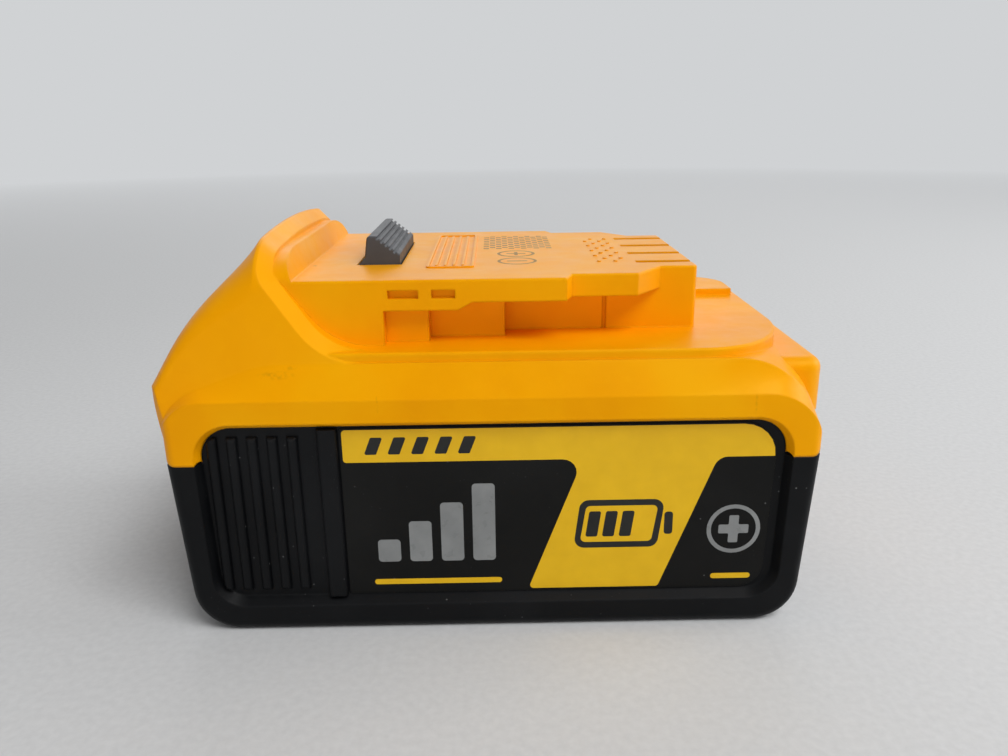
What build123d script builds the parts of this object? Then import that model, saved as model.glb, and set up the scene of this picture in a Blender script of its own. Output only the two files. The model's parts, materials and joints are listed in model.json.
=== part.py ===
from build123d import *
from math import radians, sin, sqrt, tan
import os

os.makedirs("parts", exist_ok=True)

# Slide-on rechargeable battery pack of a cordless hand tool, in millimetres.
# X runs along the pack: the release end with its hump is at -X, and the terminal end, which enters the
# tool first, is at +X. The labelled side faces -Y and +Z is up. The origin is on the surface that the
# pack stands on, under the middle of its bounding box.

# Case as a whole
end_overhang = 2.1
end_room = 8.25
side_room = 2.1
draft_angle = 3.5
case_wall = 2.2
panel_wall = 1.8
fit_gap = 0.2
running_gap = 0.3
cut_overrun = 5.0
quarter_turn = 90.0

# Lower case and its recessed side panels
base_side_radius = 8.5
base_edge_radius = 2.0
recess_depth = 2.0
recess_end_bevel = 1.1
recess_rim_bevel = 1.2
recess_inset = 5.1
recess_bottom = 5.3
recess_top_rise = 7.7
recess_low_radius = 6.0
recess_high_radius = 6.8
panel_lap = 2.0
panel_end_gap = 1.2
panel_corner_radius = 7.0
rib_count = 5
rib_pitch = 3.6
rib_width = 1.9
rib_depth = 1.1
rib_first_setback = 10.4
rib_end_gap = 1.6
rib_edge_radius = 0.8
bar_left_setback = 29.2
bar_right_setback = 32.8
bar_depth = 1.3

# Upper case: body and shoulder
crease_drop = 5.9
crease_end_radius = 10.5
crease_nose_radius = 7.5
parting_drop = 17.8
shoulder_inset = 3.0
shoulder_end_radius = 16.0
shoulder_mid_inset = 9.0
shoulder_mid_radius = 12.8
shoulder_inner_inset = 20.0
shoulder_inner_radius = 10.6
shoulder_nose_radius = 4.0
shoulder_nose_sweep = 35.0
shoulder_sweep_start_setback = 22.9

# Ledge that the tool's rails run over
ledge_rise = 1.7
ledge_inset = 3.5
ledge_corner_x = 17.9
ledge_corner_y = 22.2
ledge_edge_radius = 0.5
pad_rise = 1.5
pad_near = 7.7
pad_far = 22.5
pad_inset = 1.6
pad_corner_radius = 8.0

# Deck, rails and neck
deck_rise = 11.9
deck_wall = 2.2
deck_corner_radius = 0.9
deck_start_setback = 25.4
deck_end_setback = 19.8
rail_inset = 8.6
rail_narrow_inset = 12.2
rail_end_inset = 19.0
rail_step_start_setback = 25.7
rail_step_length = 1.3
rail_chamfer_start_setback = 12.4
rail_chamfer_end_setback = 7.1
rail_thickness = 4.2
rail_pad_thickness = 5.6
rail_pad_end_setback = 54.8
rail_pad_ramp = 2.5
rail_edge_radius = 0.4
rail_window_drop = 1.9
rail_window_height = 1.5
rail_window_depth = 1.2
rail_window_start_setbacks = (42.3, 50.1)
rail_window_end_setbacks = (47.7, 54.3)
block_end_setback = 41.4
neck_wide_inset = 11.2
neck_wide_end_setback = 49.3
neck_mid_inset = 14.5
neck_mid_end_setback = 36.7
neck_groove_setback = 17.6
neck_groove_width = 0.7
neck_groove_depth = 0.6

# Hump over the release latch
nose_drop = 2.4
hump_undercut = 2.2
hump_skirt_rise = 5.0
hump_inset = 3.0
hump_lean_angle = 13.0
hump_crest_rise = 8.0
hump_crest_setback = 19.2
hump_crown_drop = 1.9
hump_nose_radius = 4.5
hump_nose_turn = 1.2
hump_nose_corner = 6.0
hump_crest_radius = 11.0
hump_rise_shares = (0, 0.092, 0.285, 0.512, 0.76, 1)
hump_run_shares = (0, 0.07, 0.21, 0.42, 0.735, 1)
hump_face_setback = 22.0
hump_face_bend_rise = 1.9
hump_face_radius = 4.7
hump_foot_setback = 32.4
hump_foot_radius = 13.0
hump_toe_setback = 40.9
hump_lip_chamfer = 2.2
hump_wall = 2.4
boss_rise = 4.6
boss_lean_angle = 19.0
boss_corner_width = 13.0

# Bumper under the ledge at the terminal end
bumper_inset = 8.0
bumper_top_drop = 1.9
bumper_bottom_drop = 12.2
bumper_root = 8.0
bumper_corner_radius = 3.2
bumper_edge_radius = 2.4

# Terminal slots, their block and the contacts in it
slot_count = 4
slot_pitch = 10.2
slot_width = 2.2
slot_length = 11.0
slot_depth = 9.4
block_length = 12.2
block_half_width = 17.6
block_slit_width = 2.6
block_slit_depth = 10.9
block_pocket_width = 5.6
block_pocket_length = 8.0
block_pocket_drop = 4.4
contact_width = 4.8
contact_length = 6.4
contact_wall = 0.5
contact_pinch = 0.6
contact_pinch_drop = 7.9
contact_elbow_drop = 12.4
contact_top_drop = 5.0
contact_flare = 1.1

# Release latch: tooth, plate, arm and button in one moulding
latch_travel = 5.6
tooth_half_width = 14.4
tooth_start_setback = 34.9
tooth_back_setback = 36.1
tooth_apex_start_setback = 36.7
tooth_apex_end_setback = 38.5
tooth_end_setback = 43.0
tooth_rise = 5.5
tooth_toe_rise = 1.9
tooth_foot_rise = 1.2
tooth_groove_count = 5
tooth_groove_width = 0.5
tooth_groove_depth = 0.5
tooth_groove_pitch = 1.05
tooth_groove_start = 0.5
tooth_edge_radius = 0.35
tooth_apex_radius = 0.8
latch_plate_thickness = 3.0
latch_plate_half_width = 17.0
latch_plate_end_setback = 44.7
latch_arm_half_width = 13.6
latch_arm_start_setback = 10.8
latch_wing_half_width = 24.8
latch_wing_start_setback = 26.3
latch_wing_end_setback = 35.5
button_half_width = 15.0
button_bottom_drop = 9.1
button_top_rise = 1.8
button_bottom_setback = 4.6
button_knee_setback = 10.9
button_knee_drop = 1.5
button_top_setback = 14.5
button_thickness = 3.0
button_groove_count = 5
button_ridge_pitch = 1.8
button_ridge_start = 1.2
button_groove_width = 0.8
button_groove_depth = 0.5
skirt_wall = 1.2
skirt_setback = 6.7
skirt_drop = 16.0
opening_setback = 17.9

# Springs under the latch, and their seats on the cell carriers
spring_setback = 30.9
spring_y = 20.0
spring_radius = 2.55
spring_wire_radius = 0.35
spring_turns = 5
spring_pocket_radius = 3.4
spring_pocket_depth = 1.6
spring_seat_rise = 2.8
spring_seat_radius = 4.0
spring_pin_radius = 1.9
spring_pin_height = 2.5

# Charge gauge in the face of the release end
gauge_rise = 0.3
gauge_half_width = 17.0
gauge_half_height = 2.7
gauge_corner_radius = 1.2
bezel_flange = 1.0
bezel_lap = 1.2
bezel_leg_y = 16.9
bezel_leg_size = 2.0
bezel_recess = 0.2
gauge_button_y = 11.0
gauge_button_half_width = 3.4
gauge_button_half_height = 1.6
gauge_button_radius = 0.8
gauge_button_proud = 0.5
gauge_button_travel = 0.7
gauge_button_flange = 0.5
gauge_button_lap = 0.7
gauge_button_edge_radius = 0.3
lens_count = 3
lens_pitch = 6.2
lens_first_y = 3.6
lens_length = 3.6
lens_height = 2.2
lens_gap = 0.1
light_pipe_strip = 1.0
light_pipe_lap = 0.7
gauge_board_wall = 1.2
gauge_board_half_width = 18.2
gauge_board_half_height = 3.4
switch_size = 4.6
switch_body_height = 0.8
switch_height = 1.2
switch_stem_radius = 1.2
led_size = 1.8
led_height = 0.8

# Cells and what joins them
cell_diameter = 18.3
cell_length = 65.2
cell_spacing = 0.6
cell_columns = 5
cell_rows = 2
cell_cap_radius = 3.6
cell_cap_height = 0.8
cell_edge_chamfer = 0.8
foam_wall = 1.0
foam_half_length = 42.0
foam_y = 26.0
foam_width = 12.0
carrier_depth = 17.0
carrier_lip = 1.0
carrier_wall = 1.2
carrier_window_radius = 6.4
carrier_corner_radius = 3.0
strap_wall = 0.3
strap_width = 11.0
strap_slit_width = 1.0
strap_slit_length = 5.0
strap_corner_radius = 1.5
insulator_wall = 0.3
insulator_margin = 1.5

# Board on top of the cells
board_start_setback = 46.9
board_end_setback = 12.8
board_inset = 12.5
board_wall = 1.6
board_gap = 1.5
board_headroom = 3.3
board_post_radius = 2.2
board_post_inset = 4.5
board_pin_radius = 1.1
board_pin_gap = 0.05
board_pin_rise = 0.6
board_corner_radius = 2.0
chip_height = 1.4
chip_size = 7.0
chip_x = 2.0
transistor_length = 10.0
transistor_width = 6.5
transistor_height = 2.3
transistor_x = 12.0
transistor_y = 19.0
thermistor_radius = 1.8
thermistor_length = 6.0
busbar_wall = 0.4
busbar_width = 5.0
busbar_lap = 6.0
busbar_foot = 4.0
busbar_gap = 0.1
busbar_near_x = -5.5

# Case screws
screw_inset_x = 6.7
screw_inset_y = 10.5
screw_shank_radius = 1.35
screw_head_radius = 2.2
screw_head_height = 1.8
screw_length = 22.0
screw_seat_drop = 14.0
screw_drive_radius = 1.1
screw_drive_depth = 1.0
screw_recess_radius = 2.4
screw_hole_gap = 0.1
screw_boss_radius = 3.3
screw_boss_rise = 12.2
screw_rib_width = 2.0
screw_rib_rise = 8.0
screw_tip_gap = 1.5

# Label in the recess of the side that faces -Y
label_wall = 0.3
label_margin = 0.3
label_end_margin = 1.4
label_high_radius = 6.4
label_low_radius = 4.8
label_left_radius = 0.8

# Worked out from the sizes above
cell_radius = cell_diameter / 2
cell_pitch = cell_diameter + cell_spacing
bore_radius = cell_radius + fit_gap
carrier_low = case_wall + foam_wall
cell_low_height = carrier_low + carrier_wall + bore_radius
cell_high_height = cell_low_height + cell_pitch
carrier_high = cell_high_height + bore_radius + carrier_wall
cell_end_y = cell_length / 2
carrier_end_y = cell_end_y + carrier_lip
carrier_half_length = (cell_columns - 1) / 2 * cell_pitch + bore_radius + carrier_wall
board_low = carrier_high + board_gap
board_high = board_low + board_wall
half_length = carrier_half_length + end_room + case_wall
half_width = carrier_end_y + side_room + panel_wall + recess_depth
case_length = 2 * half_length
case_width = 2 * half_width
overall_half = half_length + end_overhang
shoulder_height = board_high + board_headroom + case_wall
parting_height = shoulder_height - parting_drop
crease_height = shoulder_height - crease_drop
ledge_height = shoulder_height + ledge_rise
deck_height = ledge_height + deck_rise
hump_crest_height = deck_height + hump_crest_rise
nose_height = shoulder_height - nose_drop
hump_skirt_height = parting_height + hump_skirt_rise
hump_face_bend_height = deck_height + hump_face_bend_rise
boss_height = deck_height + boss_rise
bumper_top = shoulder_height - bumper_top_drop
bumper_bottom = shoulder_height - bumper_bottom_drop
slot_floor_height = deck_height - slot_depth
block_slit_floor = deck_height - block_slit_depth
block_pocket_roof = deck_height - block_pocket_drop
contact_pinch_height = deck_height - contact_pinch_drop
contact_elbow_height = deck_height - contact_elbow_drop
contact_top = deck_height - contact_top_drop
button_bottom = deck_height - button_bottom_drop
button_top = deck_height + button_top_rise
button_knee_height = deck_height - button_knee_drop
skirt_bottom = deck_height - skirt_drop
opening_bottom = button_bottom - latch_travel - running_gap
spring_seat_height = carrier_high + spring_seat_rise
gauge_height = parting_height + gauge_rise + bezel_lap + gauge_half_height
screw_boss_top = parting_height + screw_boss_rise
screw_rib_top = parting_height + screw_rib_rise
screw_seat_height = parting_height - screw_seat_drop
recess_top = parting_height + recess_top_rise
deck_start = overall_half - deck_start_setback
rail_pad_end = overall_half - rail_pad_end_setback
block_end = overall_half - block_end_setback
neck_wide_end = overall_half - neck_wide_end_setback
hump_crest_x = overall_half - hump_crest_setback
hump_face_x = overall_half - hump_face_setback
hump_foot_corner_x = overall_half - hump_foot_setback
hump_toe_x = overall_half - hump_toe_setback
tooth_start = overall_half - tooth_start_setback
tooth_back = overall_half - tooth_back_setback
tooth_apex_start = overall_half - tooth_apex_start_setback
tooth_apex_end = overall_half - tooth_apex_end_setback
tooth_end = overall_half - tooth_end_setback
latch_plate_end = overall_half - latch_plate_end_setback
latch_arm_start = overall_half - latch_arm_start_setback
latch_wing_start = overall_half - latch_wing_start_setback
latch_wing_end = overall_half - latch_wing_end_setback
button_bottom_x = overall_half - button_bottom_setback
button_knee_x = overall_half - button_knee_setback
button_top_x = overall_half - button_top_setback
skirt_x = overall_half - skirt_setback
opening_depth_x = overall_half - opening_setback
spring_x = overall_half - spring_setback
shoulder_sweep_start = overall_half - shoulder_sweep_start_setback
bar_left = overall_half - bar_left_setback
bar_right = overall_half - bar_right_setback
rib_first_x = overall_half - rib_first_setback
board_start = overall_half - board_start_setback
deck_end = half_length - deck_end_setback
board_end = half_length - board_end_setback
rail_step_start = deck_end - rail_step_start_setback
rail_chamfer_start = deck_end - rail_chamfer_start_setback
rail_chamfer_end = deck_end - rail_chamfer_end_setback
neck_mid_end = deck_end - neck_mid_end_setback
neck_groove_x = deck_end - neck_groove_setback
rail_window_starts = [overall_half - setback for setback in rail_window_start_setbacks]
rail_window_ends = [overall_half - setback for setback in rail_window_end_setbacks]
hump_half_width = half_width - hump_inset
rail_half_width = half_width - rail_inset
rail_narrow_half_width = half_width - rail_narrow_inset
rail_end_half_width = half_width - rail_end_inset
neck_wide_half_width = half_width - neck_wide_inset
neck_mid_half_width = half_width - neck_mid_inset
bumper_half_width = half_width - bumper_inset
board_half_width = half_width - board_inset
screw_y = half_width - screw_inset_y
screw_x = half_length - screw_inset_x
ledge_end = half_length - ledge_inset
pad_end = ledge_end - pad_inset
recess_half_length = half_length - recess_inset
panel_y = half_width - recess_depth
panel_inner_y = panel_y - panel_wall
panel_end = half_length - case_wall - panel_end_gap
panel_high = recess_top + panel_lap
draft = tan(radians(draft_angle))
base_half_length = half_length - parting_height * draft
end_wall_x = half_length - case_wall
rail_underside = deck_height - rail_thickness
rail_pad_underside = deck_height - rail_pad_thickness
deck_ceiling = deck_height - deck_wall
plate_high = deck_ceiling - running_gap
plate_low = plate_high - latch_plate_thickness
opening_top = button_top + running_gap
bezel_back_x = end_wall_x - bezel_flange
gauge_board_gap = gauge_button_flange + gauge_button_travel + running_gap + switch_height
gauge_board_x = bezel_back_x - gauge_board_gap
column_places = [(i - (cell_columns - 1) / 2) * cell_pitch for i in range(cell_columns)]
row_heights = [cell_low_height + i * cell_pitch for i in range(cell_rows)]
slot_places = [(i - (slot_count - 1) / 2) * slot_pitch for i in range(slot_count)]
screw_places = [(x, y) for x in (-screw_x, screw_x) for y in (-screw_y, screw_y)]
rib_low = recess_bottom + recess_rim_bevel + rib_end_gap
rib_high = recess_top - recess_rim_bevel - rib_end_gap
board_post_x = (board_post_inset - board_start, board_end - board_post_inset)
board_post_y = (board_post_inset - board_half_width, board_half_width - board_post_inset)
block_front_x = deck_end - case_wall - fit_gap
contact_x = block_front_x - block_length / 2
thermistor_x = (column_places[1] + column_places[2]) / 2
thermistor_z = cell_high_height + sqrt((cell_radius + thermistor_radius) ** 2 - cell_pitch**2 / 4)
lens_places = [lens_first_y - i * lens_pitch for i in range(lens_count)]


def outline(*points):
    """Flat face inside straight runs through the points."""
    with BuildSketch() as face:
        with BuildLine():
            Polyline(*points, close=True)
        make_face()
    return face.sketch


def rounded_end(face, radius):
    """The same flat face with its corners at the highest X rounded."""
    with BuildSketch() as plan:
        add(face)
        fillet(plan.vertices().group_by(Axis.X)[-1], radius=radius)
    return plan.sketch


def slab(low, high):
    """Box between its lowest and highest corner."""
    size = [b - a for a, b in zip(low, high)]
    with BuildPart() as box:
        with Locations(low):
            Box(*size, align=(Align.MIN, Align.MIN, Align.MIN))
    return box.part


def disc(radius, low, high, x, y):
    """Upright round post between two heights."""
    with BuildPart() as post:
        with BuildSketch(Plane.XY.offset(low)):
            with Locations((x, y)):
                Circle(radius)
        extrude(amount=high - low)
    return post.part


def cover_section(top, end_radius, nose_radius, nose_sweep, inset, low):
    """Upright section of the cover along its length, inset from the outside by a wall."""
    side = half_length - inset
    roof = top - inset
    end_r = end_radius - inset
    nose_r = nose_radius - inset
    start = -shoulder_sweep_start
    with BuildSketch() as section:
        with BuildLine():
            if nose_sweep:
                sweep_r = nose_sweep - inset
                reach = side - nose_r - shoulder_sweep_start
                drop = sqrt((sweep_r - nose_r) ** 2 - reach**2)
                nose_z = roof - sweep_r + drop
                scale_out = sweep_r / (sweep_r - nose_r)
                join = (start - reach * scale_out, roof - sweep_r + drop * scale_out)
                RadiusArc((start, roof), join, -sweep_r)
            else:
                nose_z = roof - nose_r
                join = (-side + nose_r, roof)
                Line((start, roof), join)
            RadiusArc(join, (-side, nose_z), -nose_r)
            Polyline((-side, nose_z), (-side, low), (side, low), (side, roof - end_r))
            RadiusArc((side, roof - end_r), (side - end_r, roof), -end_r)
            Line((side - end_r, roof), (start, roof))
        make_face()
    return section.sketch


def cover_bulk(inset, low):
    """Body and shoulder of the cover: one half, lofted from the crease inwards, and its mirror image."""
    edge = half_width - inset
    nose = (shoulder_nose_radius, shoulder_nose_sweep, inset, low)
    places = (shoulder_inset, shoulder_mid_inset, shoulder_inner_inset)
    corners = (shoulder_end_radius, shoulder_mid_radius, shoulder_inner_radius)
    with BuildPart() as bulk:
        with BuildSketch(Plane.XZ.offset(edge)):
            add(cover_section(crease_height, crease_end_radius, crease_nose_radius, None, inset, low))
        with BuildSketch(Plane.XZ.offset(edge - shoulder_inset)):
            add(cover_section(shoulder_height, shoulder_end_radius, *nose))
        loft(ruled=True)
        for place, corner in zip(places, corners):
            with BuildSketch(Plane.XZ.offset(edge - place)):
                add(cover_section(shoulder_height, corner, *nose))
        loft()
        with BuildSketch(Plane.XZ.offset(edge - shoulder_inner_inset)):
            add(cover_section(shoulder_height, shoulder_inner_radius, *nose))
        extrude(amount=shoulder_inner_inset - edge)
        mirror(about=Plane.XZ)
    return bulk.part


def hump_arch(crown, corner_radius, inset):
    """End view of the hump at one station: sides that lean inwards, rounded corners, a crowned top."""
    low = hump_skirt_height
    eave = crown - hump_crown_drop
    lean = tan(radians(hump_lean_angle))
    low_half = hump_half_width - inset + (shoulder_height - low) * lean
    eave_half = hump_half_width - inset - (eave - shoulder_height) * lean
    with BuildSketch() as arch:
        with BuildLine():
            Polyline((eave_half, eave), (low_half, low), (-low_half, low), (-eave_half, eave))
            ThreePointArc((-eave_half, eave), (0, crown), (eave_half, eave))
        make_face()
        fillet(arch.vertices().group_by(Axis.Y)[-1], radius=corner_radius)
    return arch.sketch


def hump_bulk(inset):
    """Hump over the release latch: arches lofted up the rear slope, then run on towards the deck."""
    rise = hump_crest_height - nose_height
    run = overall_half - hump_crest_x
    growth = hump_crest_radius - hump_nose_radius
    with BuildPart() as bulk:
        for rise_share, run_share in zip(hump_rise_shares, hump_run_shares):
            with BuildSketch(Plane.YZ.offset(inset - overall_half + run * run_share)):
                radius = hump_nose_radius + growth * run_share**2 - inset / 2
                add(hump_arch(nose_height + rise * rise_share - inset, radius, inset))
        loft()
        with BuildSketch(Plane.YZ.offset(inset - hump_crest_x)):
            add(hump_arch(hump_crest_height - inset, hump_crest_radius - inset / 2, inset))
        extrude(amount=hump_crest_x - hump_toe_x - inset)
    return bulk.part


def hump_air(inset):
    """Side view of the space in front of the hump, bounded by its concave face."""
    face = -hump_face_x - inset
    foot = ledge_height - inset
    top = hump_crest_height + cut_overrun
    with BuildSketch() as air:
        with BuildLine():
            FilletPolyline(
                (face, top),
                (face, hump_face_bend_height - inset),
                (-hump_foot_corner_x - inset, foot),
                (0, foot),
                radius=(hump_face_radius, hump_foot_radius),
            )
            Polyline((0, foot), (0, top), (face, top))
        make_face()
    return air.sketch


def hump_hollow():
    """Inside of the hump, which stops at the end wall of the cover."""
    with BuildPart() as hollow:
        add(hump_bulk(hump_wall))
        with BuildSketch(Plane.XZ):
            add(hump_air(hump_wall))
        extrude(amount=half_width, both=True, mode=Mode.SUBTRACT)
        with Locations((-end_wall_x, 0, 0)):
            Box(
                case_length,
                case_width,
                case_length,
                align=(Align.MAX, Align.CENTER, Align.CENTER),
                mode=Mode.SUBTRACT,
            )
    return hollow.part


def deck_boss():
    """Arch-shaped end of the deck block, which leans back against the hump's face."""
    lean = tan(radians(boss_lean_angle))
    top = boss_height + cut_overrun
    with BuildPart() as boss:
        with BuildSketch(Plane.YZ.offset(-hump_crest_x)):
            turn = rail_half_width - boss_corner_width
            with BuildLine():
                Line((-turn, boss_height), (turn, boss_height))
                near_corner = (turn, deck_height), boss_corner_width, boss_rise
                EllipticalCenterArc(*near_corner, 0, arc_size=quarter_turn)
                sides = (rail_half_width, deck_height), (rail_half_width, ledge_height)
                Polyline(*sides, (-rail_half_width, ledge_height), (-rail_half_width, deck_height))
                far_corner = (-turn, deck_height), boss_corner_width, boss_rise
                EllipticalCenterArc(*far_corner, quarter_turn, arc_size=quarter_turn)
            make_face()
        extrude(amount=hump_crest_x - deck_start)
        with BuildSketch(Plane.XZ):
            leaned = (-deck_start - (top - deck_height) * lean, top)
            add(outline((-deck_start, deck_height), (-deck_start, top), leaned))
        extrude(amount=half_width, both=True, mode=Mode.SUBTRACT)
    return boss.part


def rail_plan():
    """Deck seen from above, with the stepped and chamfered edges of the two rails."""
    half = (
        (-deck_start, rail_half_width),
        (rail_step_start, rail_half_width),
        (rail_step_start + rail_step_length, rail_narrow_half_width),
        (rail_chamfer_start, rail_narrow_half_width),
        (rail_chamfer_end, rail_end_half_width),
        (deck_end, rail_end_half_width),
    )
    return rounded_end(outline(*half, *((x, -y) for x, y in reversed(half))), deck_corner_radius)


def neck_plan(start, inset):
    """Neck between the ledge and the rails, seen from above, in its three widths."""
    half = (
        (start, rail_half_width - inset),
        (-block_end - inset, rail_half_width - inset),
        (-block_end - inset, neck_wide_half_width - inset),
        (-neck_wide_end - inset, neck_wide_half_width - inset),
        (-neck_wide_end - inset, neck_mid_half_width - inset),
        (neck_mid_end - inset, neck_mid_half_width - inset),
        (neck_mid_end - inset, rail_end_half_width - inset),
        (deck_end - inset, rail_end_half_width - inset),
    )
    return rounded_end(outline(*half, *((x, -y) for x, y in reversed(half))), deck_corner_radius)


def ledge_plan():
    """Ledge seen from above: long edges under the rails and two large corners at the terminal end."""
    edge = half_width - ledge_inset
    turn_x = ledge_end - ledge_corner_x
    turn_y = edge - ledge_corner_y
    start = -hump_face_x
    with BuildSketch() as plan:
        with BuildLine():
            Line((ledge_end, -turn_y), (ledge_end, turn_y))
            high_corner = (turn_x, turn_y), ledge_corner_x, ledge_corner_y
            EllipticalCenterArc(*high_corner, 0, arc_size=quarter_turn)
            Polyline((turn_x, edge), (start, edge), (start, -edge), (turn_x, -edge))
            low_corner = (turn_x, -turn_y), ledge_corner_x, ledge_corner_y
            EllipticalCenterArc(*low_corner, -quarter_turn, arc_size=quarter_turn)
        make_face()
    return plan.sketch


def bumper():
    """Block that stands out under the ledge, with rounded corners and edges."""
    with BuildPart() as block:
        with BuildSketch(Plane.XY.offset(bumper_bottom)) as plan:
            with Locations((overall_half - bumper_root / 2, 0)):
                Rectangle(bumper_root, 2 * bumper_half_width)
            fillet(plan.vertices().group_by(Axis.X)[-1], radius=bumper_corner_radius)
        extrude(amount=bumper_top - bumper_bottom)
        rim = block.faces().sort_by(Axis.Z)[-1].edges()
        fillet(rim.filter_by(lambda e: e.center().X > overall_half - bumper_root), radius=bumper_edge_radius)
    return block.part


def window_face(half, low, high, low_radius, high_radius):
    """Outline of the recessed side panel, which narrows downwards as the case does."""
    narrowing = (parting_height - low) * draft / 2
    with BuildSketch() as face:
        with BuildLine():
            foot = half - narrowing
            Polyline((-half, high), (half, high), (foot, low), (-foot, low), close=True)
        make_face()
        fillet(face.vertices().group_by(Axis.Y)[0], radius=low_radius)
        fillet(face.vertices().group_by(Axis.Y)[-1], radius=high_radius)
    return face.sketch


def recess_floor(gap):
    """Outline of the flat floor of the recess, drawn in by a gap."""
    return window_face(
        recess_half_length - recess_end_bevel - gap,
        recess_bottom + recess_rim_bevel + gap,
        recess_top - recess_rim_bevel - gap,
        recess_low_radius - recess_rim_bevel,
        recess_high_radius - recess_rim_bevel,
    )


def window_cutter():
    """Recess of both side panels, which narrows from the face of the case down to the panel."""
    rim = window_face(recess_half_length, recess_bottom, recess_top, recess_low_radius, recess_high_radius)
    floor = recess_floor(0)
    with BuildPart() as cutter:
        with BuildSketch(Plane.XZ.offset(half_width)):
            add(rim)
        with BuildSketch(Plane.XZ.offset(panel_y)):
            add(floor)
        loft()
        with BuildSketch(Plane.XZ.offset(half_width)):
            add(rim)
        extrude(amount=cut_overrun)
        mirror(about=Plane.XZ)
    return cutter.part


def tub_profile(inset):
    """Side view of the lower case, narrower at the bottom by its draft, with rounded corners."""
    low = inset
    high = parting_height + inset
    wide = half_length - inset + inset * draft
    narrow = base_half_length - inset + inset * draft
    with BuildSketch() as profile:
        with BuildLine():
            Polyline((-wide, high), (wide, high), (narrow, low), (-narrow, low), close=True)
        make_face()
        fillet(profile.vertices().group_by(Axis.Y)[0], radius=base_side_radius - inset)
    return profile.sketch


window = window_cutter()
cover_outside = cover_bulk(0, parting_height)
cover_inside = cover_bulk(case_wall, parting_height - cut_overrun)
hump_outside = hump_bulk(0)
hump_inside = hump_hollow()
boss_solid = deck_boss()
bumper_solid = bumper()

# Hump with its concave face towards the deck and the slanted lip around it
with BuildPart() as hump:
    add(hump_outside)
    nose_rim = hump.edges().filter_by(
        lambda e: abs(e.center().X + overall_half) < fit_gap and e.center().Z > hump_skirt_height + fit_gap
    )
    fillet(nose_rim, radius=hump_nose_turn)
    with BuildSketch(Plane.XY.offset(hump_skirt_height)) as nose_plan:
        skirt_half = hump_half_width + (shoulder_height - hump_skirt_height) * tan(radians(hump_lean_angle))
        with Locations((-overall_half, 0)):
            Rectangle(overall_half, 2 * skirt_half, align=(Align.MIN, Align.CENTER))
        fillet(nose_plan.vertices().group_by(Axis.X)[0], radius=hump_nose_corner)
    extrude(amount=hump_crest_height - hump_skirt_height, mode=Mode.INTERSECT)
    with BuildSketch(Plane.XZ):
        add(hump_air(0))
    extrude(amount=half_width, both=True, mode=Mode.SUBTRACT)
    lip = hump.edges().filter_by(
        lambda e: e.center().X > -hump_face_x - fit_gap
        and e.center().Z > ledge_height + fit_gap
        and not (e.geom_type == GeomType.LINE and abs(e.center().Y) < fit_gap)
    )
    chamfer(lip, length=hump_lip_chamfer)
    with BuildSketch(Plane.XZ):
        nose_foot = nose_height - hump_nose_turn
        nose_line = (-overall_half, nose_foot), (-overall_half + hump_undercut, hump_skirt_height)
        add(outline(*nose_line, (-overall_half, hump_skirt_height)))
    extrude(amount=half_width, both=True, mode=Mode.SUBTRACT)

# Ledge with its rounded rim
with BuildPart() as ledge_block:
    with BuildSketch(Plane.XY.offset(crease_height)):
        add(ledge_plan())
    extrude(amount=ledge_height - crease_height)
    fillet(ledge_block.faces().sort_by(Axis.Z)[-1].edges(), radius=ledge_edge_radius)

# Deck plate with the rounded edges of its rails
with BuildPart() as rail_block:
    with BuildSketch(Plane.XY.offset(rail_underside)):
        add(rail_plan())
    extrude(amount=rail_thickness)
    rail_rims = rail_block.faces().sort_by(Axis.Z)[-1].edges()
    fillet(rail_rims.filter_by(lambda e: e.center().X > fit_gap - deck_start), radius=rail_edge_radius)

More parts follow.
